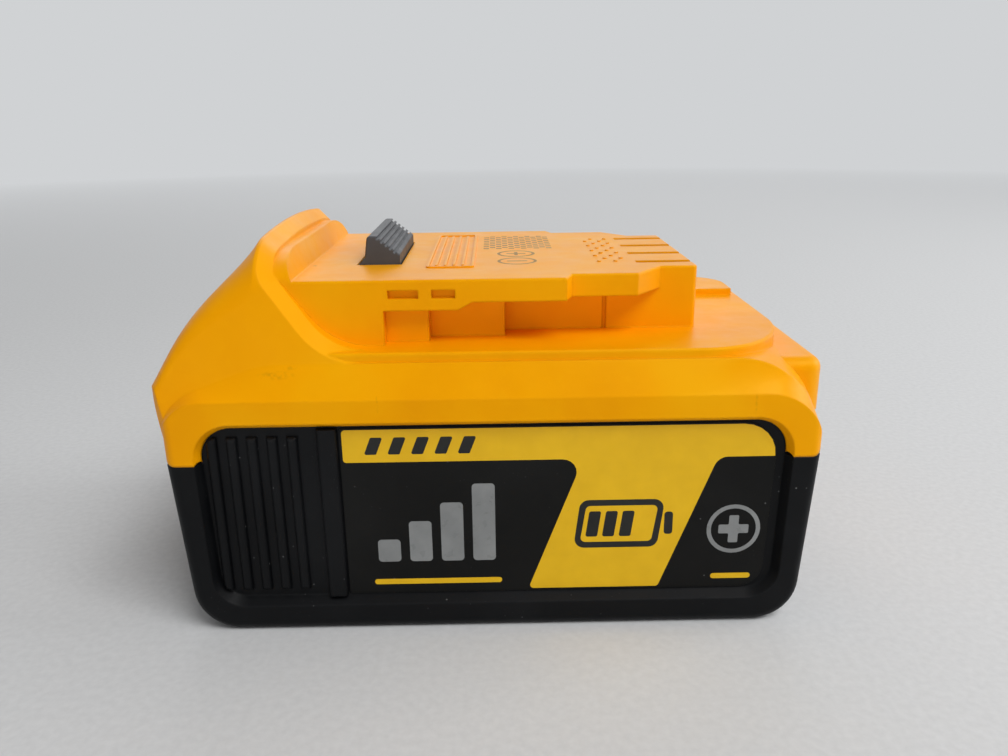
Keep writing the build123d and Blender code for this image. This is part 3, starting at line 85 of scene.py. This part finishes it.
# Materials
class Mat:
    """A procedural material: its nodes, in object coordinates measured in millimetres."""

    def __init__(self, name, rough=0.5, metal=0.0, spec=0.5):
        self.mat = bpy.data.materials.new(name)
        self.mat.use_nodes = True
        self.tree = self.mat.node_tree
        self.tree.nodes.clear()
        self.out = self.add("ShaderNodeOutputMaterial")
        self.bsdf = self.add("ShaderNodeBsdfPrincipled")
        self.link(self.bsdf.outputs[0], self.out.inputs[0])
        self.bsdf.inputs["Metallic"].default_value = metal
        self.bsdf.inputs["Specular IOR Level"].default_value = spec
        self.bsdf.inputs["Roughness"].default_value = rough
        coords = self.add("ShaderNodeTexCoord")
        scale = self.add("ShaderNodeVectorMath")
        scale.operation = "SCALE"
        scale.inputs["Scale"].default_value = 1 / MM
        self.link(coords.outputs["Object"], scale.inputs[0])
        self.mm = scale.outputs[0]
        self.normal = None

    def add(self, kind):
        return self.tree.nodes.new(kind)

    def link(self, a, b):
        self.tree.links.new(a, b)

    def noise(self, size, detail=2.0, rough=0.5, stretch=(1, 1, 1)):
        """Noise whose features are about size millimetres across."""
        node = self.add("ShaderNodeTexNoise")
        node.inputs["Scale"].default_value = 1 / size
        node.inputs["Detail"].default_value = detail
        node.inputs["Roughness"].default_value = rough
        if stretch != (1, 1, 1):
            bend = self.add("ShaderNodeVectorMath")
            bend.operation = "MULTIPLY"
            bend.inputs[1].default_value = stretch
            self.link(self.mm, bend.inputs[0])
            self.link(bend.outputs[0], node.inputs["Vector"])
        else:
            self.link(self.mm, node.inputs["Vector"])
        return node.outputs["Fac"]

    def ramp(self, value, stops):
        """Colour ramp over (place, colour) pairs."""
        node = self.add("ShaderNodeValToRGB")
        while len(node.color_ramp.elements) < len(stops):
            node.color_ramp.elements.new(0.5)
        for element, (place, colour) in zip(node.color_ramp.elements, stops):
            element.position = place
            element.color = colour
        self.link(value, node.inputs[0])
        return node.outputs[0]

    def map(self, value, low, high, start=0.0, end=1.0):
        node = self.add("ShaderNodeMapRange")
        node.inputs["From Min"].default_value = start
        node.inputs["From Max"].default_value = end
        node.inputs["To Min"].default_value = low
        node.inputs["To Max"].default_value = high
        self.link(value, node.inputs["Value"])
        return node.outputs[0]

    def mix(self, fac, a, b):
        node = self.add("ShaderNodeMix")
        node.data_type = "RGBA"
        for key, value in ((0, fac), (6, a), (7, b)):
            if isinstance(value, (tuple, float, int)):
                node.inputs[key].default_value = value
            else:
                self.link(value, node.inputs[key])
        return node.outputs[2]

    def math(self, kind, a, b=None):
        node = self.add("ShaderNodeMath")
        node.operation = kind
        for key, value in ((0, a), (1, b)):
            if value is None:
                continue
            if isinstance(value, (float, int)):
                node.inputs[key].default_value = value
            else:
                self.link(value, node.inputs[key])
        return node.outputs[0]

    def base(self, colour):
        self.link(colour, self.bsdf.inputs["Base Color"])

    def rough(self, value):
        self.link(value, self.bsdf.inputs["Roughness"])

    def soften(self, radius):
        """Edges look rounded to this radius in millimetres."""
        node = self.add("ShaderNodeBevel")
        node.samples = 4
        node.inputs["Radius"].default_value = radius * MM
        self.normal = node.outputs[0]

    def bump(self, *layers):
        """Stacked bumps: (height, depth in millimetres, strength)."""
        for height, depth, strength in layers:
            node = self.add("ShaderNodeBump")
            node.inputs["Strength"].default_value = strength
            node.inputs["Distance"].default_value = depth * MM
            self.link(height, node.inputs["Height"])
            if self.normal is not None:
                self.link(self.normal, node.inputs["Normal"])
            self.normal = node.outputs[0]
        self.link(self.normal, self.bsdf.inputs["Normal"])

    def near(self, place, reach, squeeze=(1, 1, 1)):
        """1 at a place, falling to 0 at reach millimetres from it; squeeze narrows it along an axis."""
        offset = self.add("ShaderNodeVectorMath")
        offset.operation = "SUBTRACT"
        offset.inputs[1].default_value = place
        self.link(self.mm, offset.inputs[0])
        bend = self.add("ShaderNodeVectorMath")
        bend.operation = "MULTIPLY"
        bend.inputs[1].default_value = squeeze
        self.link(offset.outputs[0], bend.inputs[0])
        length = self.add("ShaderNodeVectorMath")
        length.operation = "LENGTH"
        self.link(bend.outputs[0], length.inputs[0])
        return self.map(length.outputs["Value"], 1.0, 0.0, 0.0, reach)

    def specks(self, spacing, size, patch):
        """Scattered round specks, thicker in some patches than in others."""
        cells = self.add("ShaderNodeTexVoronoi")
        cells.inputs["Scale"].default_value = 1 / spacing
        self.link(self.mm, cells.inputs["Vector"])
        spot = self.map(cells.outputs["Distance"], 1.0, 0.0, size * 0.3 / spacing, size / spacing)
        return self.math("MULTIPLY", spot, self.map(self.noise(patch, 4.0), 0.0, 1.0, 0.45, 0.62))


def plastic(
    name, colour, dark, light, rough=0.42, grain=0.35, depth=0.02, dust=0.0, spec=0.5, soft=0.3, marks=()
):
    """Moulded plastic: fine spark-eroded grain, slow colour drift, soft edges, scuffs and dust."""
    m = Mat(name, rough, spec=spec)
    m.soften(soft)
    drift = m.noise(22.0, 3.0)
    body = m.ramp(drift, [(0.3, dark), (0.5, colour), (0.72, light)])
    scuffs = m.map(m.noise(3.5, 6.0, 0.7), 0.0, 0.3, 0.55, 0.75)
    body = m.mix(scuffs, body, light)
    if dust:
        body = m.mix(m.math("MULTIPLY", m.specks(2.6, 0.2, 9.0), dust), body, srgb(150, 150, 150))
        fine = m.math("MULTIPLY", m.specks(0.9, 0.07, 6.0), dust * 0.7)
        body = m.mix(fine, body, srgb(120, 120, 120))
    for place, reach, squeeze, mark, strength in marks:
        spot = m.near(place, reach, squeeze)
        smear = m.math("MULTIPLY", spot, m.map(m.noise(0.9, 4.0), 0.0, strength, 0.4, 0.6))
        body = m.mix(smear, body, mark)
    m.base(body)
    m.rough(m.map(m.noise(6.0, 5.0, 0.65), rough - 0.07, rough + 0.09, 0.3, 0.7))
    m.bump((m.noise(grain, 2.0), depth, 0.55), (m.noise(14.0, 2.0), 0.12, 0.12))
    return m


def metal(name, colour, dark, rough=0.3, stretch=(1, 1, 6)):
    """Drawn or rolled metal with fine lines along its length and dull stains."""
    m = Mat(name, rough, metal=1.0)
    lines = m.noise(0.25, 3.0, 0.6, stretch)
    stain = m.noise(5.0, 4.0)
    m.base(m.mix(m.map(stain, 0.0, 0.6, 0.4, 0.75), colour, dark))
    m.rough(m.map(lines, rough - 0.08, rough + 0.15, 0.3, 0.7))
    m.bump((lines, 0.01, 0.4))
    return m


def ink(name, colour, light, worn=0.35, rough=0.36):
    """Screen-printed ink: slightly mottled, with tiny gaps where it is worn."""
    m = Mat(name, rough, spec=0.35)
    body = m.ramp(m.noise(5.0, 4.0), [(0.35, colour), (0.7, light)])
    body = m.mix(m.math("MULTIPLY", m.specks(1.3, 0.1, 7.0), worn), body, srgb(60, 58, 50))
    m.base(body)
    m.rough(m.map(m.noise(2.5, 4.0), rough - 0.06, rough + 0.1, 0.3, 0.7))
    m.bump((m.noise(0.25, 2.0), 0.006, 0.5))
    return m


BRUISE = srgb(150, 104, 20)
# Scuffs and two mould lines: place, reach, squeeze, colour, strength
YELLOW_MARKS = (
    ((-38.0, -38.0, 50.2), 2.0, (0.5, 1.0, 2.2), BRUISE, 0.5),
    ((-35.6, -37.5, 51.4), 1.2, (0.6, 1.0, 2.0), BRUISE, 0.5),
    ((-34.4, -15.0, 65.4), 0.6, (1.0, 1.0, 1.0), srgb(120, 80, 20), 1.0),
    ((39.0, 12.0, 53.5), 3.0, (0.6, 1.0, 1.0), BRUISE, 0.4),
    ((-20.0, 30.0, 65.4), 4.0, (0.4, 1.6, 1.0), BRUISE, 0.35),
    ((52.0, 10.0, 49.9), 3.0, (1.0, 0.5, 1.0), BRUISE, 0.4),
    ((46.0, -39.3, 44.4), 2.6, (8.0, 0.5, 1.0), BRUISE, 0.3),
    ((-20.3, -39.3, 45.5), 2.2, (8.0, 0.5, 1.0), BRUISE, 0.3),
)
YELLOWS = (srgb(250, 167, 0), srgb(245, 160, 0), srgb(252, 175, 4))
YELLOW_TINT = (1.0, 0.72, 0.12, 1.0)
yellow = plastic(
    "yellow_moulding", *YELLOWS, rough=0.38, grain=0.3, depth=0.012, spec=0.3, soft=0.55, marks=YELLOW_MARKS
)
yellow.bsdf.inputs["Specular Tint"].default_value = YELLOW_TINT
raised = plastic("yellow_raised", *YELLOWS, rough=0.36, grain=0.3, depth=0.01, spec=0.4, soft=0.15)
raised.bsdf.inputs["Specular Tint"].default_value = YELLOW_TINT
BLACKS = (srgb(8, 9, 11), srgb(6, 7, 9), srgb(17, 18, 20))
black = plastic("black_moulding", *BLACKS, rough=0.45, dust=0.5, spec=0.14, soft=0.5)
FILMS = (srgb(10, 10, 9), srgb(8, 8, 7), srgb(18, 18, 17))
film = plastic("label_film", *FILMS, rough=0.36, grain=0.5, depth=0.006, dust=0.5, spec=0.16, soft=0.1)
rubbery = plastic(
    "latch_moulding", srgb(54, 56, 60), srgb(47, 49, 53), srgb(72, 74, 78),
    rough=0.48, dust=0.4, spec=0.45, soft=0.25,
)
bezel = plastic(
    "bezel_moulding", srgb(20, 20, 22), srgb(16, 16, 18), srgb(32, 32, 34),
    rough=0.28, spec=0.35, soft=0.15,
)
key = plastic("gauge_key", srgb(92, 94, 98), srgb(84, 86, 90), srgb(112, 114, 118), rough=0.55, soft=0.2)
lens = plastic(
    "frosted_lens", srgb(196, 204, 204), srgb(186, 195, 196), srgb(208, 214, 214),
    rough=0.3, soft=0.15,
)
board = plastic("solder_resist", srgb(20, 92, 48), srgb(16, 80, 42), srgb(30, 108, 58), rough=0.3)
chip = plastic("chip_resin", srgb(30, 30, 31), srgb(26, 26, 27), srgb(42, 42, 44), rough=0.55)
led = plastic("lamp_cap", srgb(232, 230, 214), srgb(224, 222, 206), srgb(240, 238, 226), rough=0.25)
sleeve = plastic("cell_sleeve", srgb(30, 92, 150), srgb(26, 82, 138), srgb(44, 108, 166), rough=0.3)
carrier = plastic("carrier_moulding", srgb(44, 45, 47), srgb(38, 39, 41), srgb(58, 59, 61), rough=0.5)
sheet = plastic("pressed_fibre", srgb(196, 188, 164), srgb(186, 178, 154), srgb(208, 200, 178), rough=0.8)
foam = plastic(
    "black_foam", srgb(40, 40, 41), srgb(32, 32, 33), srgb(54, 54, 56),
    rough=0.95, grain=0.8, depth=0.2,
)
block = plastic("block_moulding", srgb(24, 24, 26), srgb(20, 20, 22), srgb(38, 38, 40), rough=0.5, spec=0.35)
bead = plastic("dipped_bead", srgb(52, 54, 40), srgb(46, 48, 35), srgb(66, 68, 52), rough=0.3)
nickel = metal("rolled_nickel", srgb(196, 190, 178), srgb(160, 154, 142))
steel = metal("spring_wire", srgb(176, 178, 182), srgb(130, 132, 136), 0.25)
zinc = metal("screw_zinc", srgb(128, 128, 130), srgb(86, 86, 88), 0.35)
copper = metal("copper_strip", srgb(202, 138, 96), srgb(158, 98, 64))
tin = metal("tinned_strip", srgb(206, 196, 170), srgb(166, 156, 132), 0.28)
yellow_ink = ink("yellow_ink", srgb(232, 182, 0), srgb(240, 190, 6))
grey_ink = ink("grey_ink", srgb(128, 130, 130), srgb(140, 142, 142), rough=0.3)
black_ink = ink("black_ink", srgb(20, 20, 18), srgb(30, 30, 27), worn=0.2)
dull_ink = ink("dull_ink", srgb(150, 112, 40), srgb(160, 122, 48), worn=0.2, rough=0.5)

SLOTS = {
    "black_shell": black,
    "yellow_cover": yellow,
    "label_print": film,
    "black_latch": rubbery,
    "spring_steel": steel,
    "black_bezel": bezel,
    "grey_button": key,
    "clear_lens": lens,
    "green_board": board,
    "black_chip": chip,
    "white_led": led,
    "cell_wrap": sleeve,
    "carrier_plastic": carrier,
    "nickel": nickel,
    "insulating_sheet": sheet,
    "black_foam": foam,
    "copper_bar": copper,
    "tinned_contact": tin,
    "black_block": block,
    "screw_steel": zinc,
    "sensor_bead": bead,
}
for part in frame["record"]["subparts"]:
    node = nodes[part["node"]]
    node.data.materials.clear()
    node.data.materials.append(SLOTS[part["material_slot"]].mat)

# Latch springs, each copied into an object of its own that rides on the pack
for side in ("near", "far"):
    node = nodes["latch_spring_" + side]
    low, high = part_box(node.name)
    coil = bpy.data.objects.new("spring_coil_" + side, node.data.copy())
    coil.matrix_world = node.matrix_world
    scene.collection.objects.link(coil)
    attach(coil, "pack")
    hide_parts(node.name)
    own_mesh(coil)


# Printed and raised detail
def rounded(corners, steps=6):
    """Closed outline through (x, z, radius) corners, each turned with an arc of its radius."""
    points = []
    for i, (x, z, r) in enumerate(corners):
        here = Vector((x, z))
        if not r:
            points.append(here)
            continue
        back = (Vector(corners[i - 1][:2]) - here).normalized()
        ahead = (Vector(corners[(i + 1) % len(corners)][:2]) - here).normalized()
        half = back.angle(ahead) / 2
        centre = here + (back + ahead).normalized() * (r / math.sin(half))
        start = here + back * (r / math.tan(half)) - centre
        end = here + ahead * (r / math.tan(half)) - centre
        sweep = start.angle_signed(end)
        for k in range(steps + 1):
            turn = -sweep * k / steps
            c, n = math.cos(turn), math.sin(turn)
            points.append(centre + Vector((start.x * c - start.y * n, start.x * n + start.y * c)))
    return points


def box_outline(x0, z0, x1, z1, r, steps=6, lean=0.0):
    """Rounded rectangle, its top shifted by lean."""
    return rounded([(x0, z0, r), (x1, z0, r), (x1 + lean, z1, r), (x0 + lean, z1, r)], steps)


def ring_outline(x, z, r, steps=36):
    angles = [math.tau * i / steps for i in range(steps)]
    return [Vector((x + r * math.cos(a), z + r * math.sin(a))) for a in angles]


def plates(name, shapes, place, low, high, material):
    """One object of thin plates between two levels; a shape is an outline, or an outline and the hole in it."""
    verts, faces = [], []
    for shape in shapes:
        outer, inner = shape if isinstance(shape, tuple) else (shape, None)
        n = len(outer)
        loops = [outer] if inner is None else [outer, inner]
        first = len(verts)
        for loop in loops:
            verts += [place(p.x, p.y, low) for p in loop]
            verts += [place(p.x, p.y, high) for p in loop]
        for i in range(n):
            j = (i + 1) % n
            faces.append((first + i, first + j, first + n + j, first + n + i))
            if inner is not None:
                faces.append((first + 2 * n + j, first + 2 * n + i, first + 3 * n + i, first + 3 * n + j))
                faces.append((first + i, first + 2 * n + i, first + 2 * n + j, first + j))
                faces.append((first + n + i, first + n + j, first + 3 * n + j, first + 3 * n + i))
        if inner is None:
            faces.append(tuple(first + n + i for i in range(n)))
            faces.append(tuple(first + i for i in reversed(range(n))))
    mesh = bpy.data.meshes.new(name)
    mesh.from_pydata([[c * MM for c in v] for v in verts], [], faces)
    work = bmesh.new()
    work.from_mesh(mesh)
    bmesh.ops.recalc_face_normals(work, faces=work.faces)
    work.to_mesh(mesh)
    work.free()
    obj = bpy.data.objects.new(name, mesh)
    scene.collection.objects.link(obj)
    mesh.materials.append(material.mat)
    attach(obj, "pack")


LABEL_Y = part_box("side_label")[0][1] / MM
DECK_Z = 65.4
INK_SUNK = 0.02
LABEL_INK_RISE = 0.02
LABEL_LAYER = 0.012
DECK_INK_RISE = 0.015
RELIEF_SUNK = 0.05


def on_label(x, z, level):
    return (x, LABEL_Y - level, z)


def on_deck(x, y, level):
    return (x, y, DECK_Z + level)


def label(name, shapes, material, layer):
    """Ink on the label; a higher layer lies on a lower one."""
    low = LABEL_LAYER * layer - INK_SUNK
    high = LABEL_INK_RISE + LABEL_LAYER * layer
    plates(name, shapes, on_label, low, high, material)


def relief(name, shapes, height):
    """Raised lines or dots, moulded in one with the deck."""
    plates(name, shapes, on_deck, -RELIEF_SUNK, height, raised)


def deck_ink(name, shapes):
    plates(name, shapes, on_deck, -INK_SUNK, DECK_INK_RISE, dull_ink)


# Label: a yellow band with a slanted block, a cell pictogram, rising bars, a plus badge and slashes
band = [
    (-27.3, 33.6, 0.6),
    (16.0, 33.6, 2.6),
    (6.0, 7.2, 0.7),
    (30.5, 7.2, 0.7),
    (40.5, 33.6, 2.6),
    (50.75, 33.6, 0),
    (50.95, 39.9, 6.0),
    (-27.3, 39.9, 0.7),
]
label("label_band", [rounded(band)], yellow_ink, 0)
rules = [box_outline(-23.0, 8.6, 1.0, 9.7, 0.5), box_outline(40.5, 8.6, 48.0, 9.7, 0.5)]
label("label_rule", rules, yellow_ink, 0)
cell_rim = box_outline(14.4, 15.6, 30.0, 25.4, 1.8, lean=1.2)
cell_room = box_outline(15.6, 16.8, 28.9, 24.2, 0.9, lean=1.1)
label("label_cell", [(cell_rim, cell_room), box_outline(31.2, 18.2, 32.8, 22.8, 0.6)], black_ink, 1)
charge = [box_outline(16.6 + 3.1 * i, 17.9, 18.8 + 3.1 * i, 23.1, 0.4, lean=0.7) for i in range(3)]
label("label_cell_charge", charge, black_ink, 1)
slashes = [box_outline(-23.5 + 4.2 * i, 35.1, -21.3 + 4.2 * i, 38.4, 0.3, lean=1.3) for i in range(5)]
label("label_slashes", slashes, black_ink, 1)
PLUS_X, PLUS_Z = 44.2, 19.0
PLUS_ARM, PLUS_HALF = 2.8, 0.9
quarter = [(-PLUS_HALF, -PLUS_ARM), (PLUS_HALF, -PLUS_ARM), (PLUS_HALF, -PLUS_HALF)]
plus = []
for _ in range(4):
    plus += quarter
    quarter = [(-z, x) for x, z in quarter]
badge = (ring_outline(PLUS_X, PLUS_Z, 5.0), ring_outline(PLUS_X, PLUS_Z, 4.2))
sign = rounded([(x + PLUS_X, z + PLUS_Z, 0.25) for x, z in plus], 3)
label("label_plus", [badge, sign], grey_ink, 0)
levels = [box_outline(-22.0 + 5.9 * i, 13.4, -17.8 + 5.9 * i, 18.0 + 3.7 * i, 0.7) for i in range(4)]
label("label_levels", levels, grey_ink, 0)

# Deck: raised lines and dots, a checked field and the two signs of the poles
deck_panel = (box_outline(-12.6, -19.2, -3.4, 23.4, 0.9), box_outline(-12.0, -18.6, -4.0, 22.8, 0.5))
bars = [box_outline(-11.0 + 1.7 * i, -17.4, -10.4 + 1.7 * i, 21.6, 0.25) for i in range(4)]
relief("deck_frame", [deck_panel, *bars], 0.28)
dot_places = [(21.0 + 1.5 * (i % 2) + 3.2 * (i // 10), -14.5 + 3.3 * (i % 10)) for i in range(20)]
dots = [ring_outline(x, y, 0.42, 10) for x, y in dot_places]
relief("deck_dots", dots, 0.22)
squares = [(i, j) for i in range(11) for j in range(14) if (i + j) % 2 == 0]
checks = [box_outline(-1.8 + 1.35 * i, 3.0 + 1.35 * j, -0.6 + 1.35 * i, 4.2 + 1.35 * j, 0.15, 2) for i, j in squares]
deck_ink("deck_checks", checks)
signs = []
for y in (-12.6, -3.6):
    signs.append((ring_outline(5.0, y, 3.9), ring_outline(5.0, y, 3.3)))
    signs.append(box_outline(3.0, y - 0.35, 7.0, y + 0.35, 0.2, 3))
for low, high in ((-5.6, -4.0), (-3.2, -1.6)):
    signs.append(box_outline(4.65, low, 5.35, high, 0.2, 3))
deck_ink("deck_signs", signs)

# Floor, backdrop and light
BACKDROP = srgb(208, 210, 212)


def seen_rays(tree):
    """1 for the rays that see the background, directly or in something glossy or clear."""
    rays = tree.nodes.new("ShaderNodeLightPath")
    last = rays.outputs["Is Camera Ray"]
    for kind in ("Is Glossy Ray", "Is Transmission Ray"):
        node = tree.nodes.new("ShaderNodeMath")
        node.operation = "MAXIMUM"
        tree.links.new(last, node.inputs[0])
        tree.links.new(rays.outputs[kind], node.inputs[1])
        last = node.outputs[0]
    return last


def stage_material():
    m = Mat("pale_floor", 0.75, spec=0.2)
    grain = m.noise(1.5, 3.0)
    m.base(m.ramp(grain, [(0.3, srgb(214, 215, 216)), (0.7, srgb(221, 222, 223))]))
    m.bump((grain, 0.05, 0.15))
    paper = m.add("ShaderNodeEmission")
    paper.inputs["Color"].default_value = BACKDROP
    far = m.math("SUBTRACT", 1.0, m.near((0, 0, 0), 1500.0))
    blend = m.add("ShaderNodeMixShader")
    m.link(m.math("MULTIPLY", seen_rays(m.tree), m.map(far, 0.0, 1.0, 0.2, 0.9)), blend.inputs[0])
    m.link(m.bsdf.outputs[0], blend.inputs[1])
    m.link(paper.outputs[0], blend.inputs[2])
    m.link(blend.outputs[0], m.out.inputs[0])
    return m.mat


def sweep_floor():
    """Floor that curves up into a backdrop far behind the object."""
    front, bend, radius, top, half_width = -2.5, 1.4, 0.6, 3.0, 4.0
    steps = 12
    profile = [(front, 0.0), (bend, 0.0)]
    for i in range(1, steps + 1):
        a = math.radians(90 * i / steps)
        profile.append((bend + radius * math.sin(a), radius - radius * math.cos(a)))
    profile.append((bend + radius, top))
    verts = [(x, y, z) for y, z in profile for x in (-half_width, half_width)]
    faces = [(2 * i, 2 * i + 1, 2 * i + 3, 2 * i + 2) for i in range(len(profile) - 1)]
    mesh = bpy.data.meshes.new("floor")
    mesh.from_pydata(verts, [], faces)
    mesh.shade_smooth()
    obj = bpy.data.objects.new("floor", mesh)
    scene.collection.objects.link(obj)
    mesh.materials.append(stage_material())
    obj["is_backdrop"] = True


sweep_floor()


def lamp(name, place, target, size, power):
    data = bpy.data.lights.new(name, "AREA")
    data.shape = "RECTANGLE"
    data.size, data.size_y = size
    data.energy = power
    obj = bpy.data.objects.new(name, data)
    scene.collection.objects.link(obj)
    place = Vector(place)
    obj.location = place
    obj.rotation_euler = (Vector(target) - place).to_track_quat("-Z", "Y").to_euler()


lamp("key_front", (0.5, -0.6, 1.05), (0, 0, 0.03), (0.7, 0.6), 9.8)
lamp("fill_low", (-0.15, -1.0, 0.12), (0, 0, 0.05), (0.9, 0.3), 1.4)
lamp("side_right", (0.95, 0.1, 0.45), (0, 0, 0.03), (0.5, 0.5), 3.0)
lamp("window_back", (0.1, 1.0, 0.7), (0, 0, 0.05), (1.2, 0.6), 3.0)

world = bpy.data.worlds.new("studio")
world.use_nodes = True
air = world.node_tree
soft = air.nodes["Background"]
soft.inputs[0].default_value = (1, 1, 1, 1)
soft.inputs[1].default_value = 0.2
paper = air.nodes.new("ShaderNodeBackground")
paper.inputs[0].default_value = BACKDROP
blend = air.nodes.new("ShaderNodeMixShader")
air.links.new(seen_rays(air), blend.inputs[0])
air.links.new(soft.outputs[0], blend.inputs[1])
air.links.new(paper.outputs[0], blend.inputs[2])
air.links.new(blend.outputs[0], air.nodes["World Output"].inputs[0])
scene.world = world

# Camera at the photograph's angle, with a focal length of 829 px in a frame 1008 px wide
camera = bpy.data.cameras.new("camera")
camera.sensor_width = 36.0
camera.lens = 29.607
camera.clip_start = 0.01
camera.clip_end = 20.0
view = bpy.data.objects.new("camera", camera)
right = Vector((0.99983, -0.01357, -0.01246))
forward = Vector((0.00914, 0.95259, -0.30411))
right = (right - forward * right.dot(forward) / forward.length_squared).normalized()
back = -forward.normalized()
up = back.cross(right)
turn = Matrix((right, up, back)).transposed().to_4x4()
view.matrix_world = Matrix.Translation((0.000535, -0.175772, 0.09323)) @ turn
scene.collection.objects.link(view)
scene.camera = view

low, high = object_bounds()
